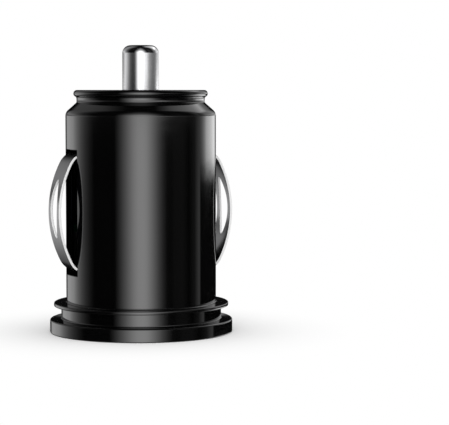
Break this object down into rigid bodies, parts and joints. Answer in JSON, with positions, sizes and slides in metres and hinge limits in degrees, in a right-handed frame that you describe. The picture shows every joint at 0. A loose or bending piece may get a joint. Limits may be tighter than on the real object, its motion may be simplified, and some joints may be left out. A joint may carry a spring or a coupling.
{
  "type": "car usb charger plug",
  "caption": "Compact charger plug for a 12 volt car socket, with a sprung tip pin, two bowed side contacts and twin USB ports in its flanged face.",
  "frame": {"origin": "centre of the port face, which the plug stands on", "axes": "+Z from the port face along the barrel to the tip pin, X across the two side contacts and along the ports' long sides, Y from one port to the other"},
  "size_m": [0.025, 0.025, 0.0393],
  "materials": {
    "shell_black": "polished black",
    "face_grey": "fine matte",
    "tip_chrome": "mirror",
    "contact_steel": "polished strip",
    "spring_steel": "drawn wire",
    "terminal_brass": "stamped",
    "port_steel": "plated",
    "tongue_black": "moulded",
    "contact_gold": "gold plated",
    "board_green": "solder mask",
    "ferrite": "sintered",
    "copper_wire": "enamelled",
    "can_sleeve": "sleeve",
    "can_aluminium": "satin",
    "chip_black": "moulded",
    "ceramic_tan": "ceramic"
  },
  "bodies": {
    "housing": {"barrel_shell": "shell_black", "head_cap": "shell_black", "face_plate": "face_grey", "tip_spring": "spring_steel", "tip_terminal": "terminal_brass", "ground_terminal_left": "terminal_brass", "ground_terminal_right": "terminal_brass", "port_shell_upper": "port_steel", "port_shell_lower": "port_steel", "port_tongue_upper": "tongue_black", "port_tongue_lower": "tongue_black", "port_contacts_upper": "contact_gold", "port_contacts_lower": "contact_gold", "port_board": "board_green", "power_board": "board_green", "inductor_core": "ferrite", "inductor_winding": "copper_wire", "input_capacitor": "can_sleeve", "output_capacitor": "can_aluminium", "converter_chip": "chip_black", "rectifier_diode": "chip_black", "input_fuse": "ceramic_tan", "charge_control_chips": "chip_black", "chip_capacitors": "ceramic_tan", "chip_resistors": "chip_black"},
    "tip": {"tip_pin": "tip_chrome"},
    "left_contact": {"ground_contact_left": "contact_steel"},
    "right_contact": {"ground_contact_right": "contact_steel"}
  },
  "joints": [
    {"name": "tip_press", "type": "slide", "parent": "housing", "child": "tip", "axis": [0, 0, -1], "range_m": [0, 0.002], "stiffness_N_per_m": 1200, "springref_m": -0.002, "deforming": ["tip_spring"]},
    {"name": "left_contact_press", "type": "slide", "parent": "housing", "child": "left_contact", "axis": [1, 0, 0], "range_m": [0, 0.0018], "stiffness_N_per_m": 2500, "springref_m": -0.0006},
    {"name": "right_contact_press", "type": "slide", "parent": "housing", "child": "right_contact", "axis": [-1, 0, 0], "range_m": [0, 0.0018], "stiffness_N_per_m": 2500, "springref_m": -0.0006}
  ]
}
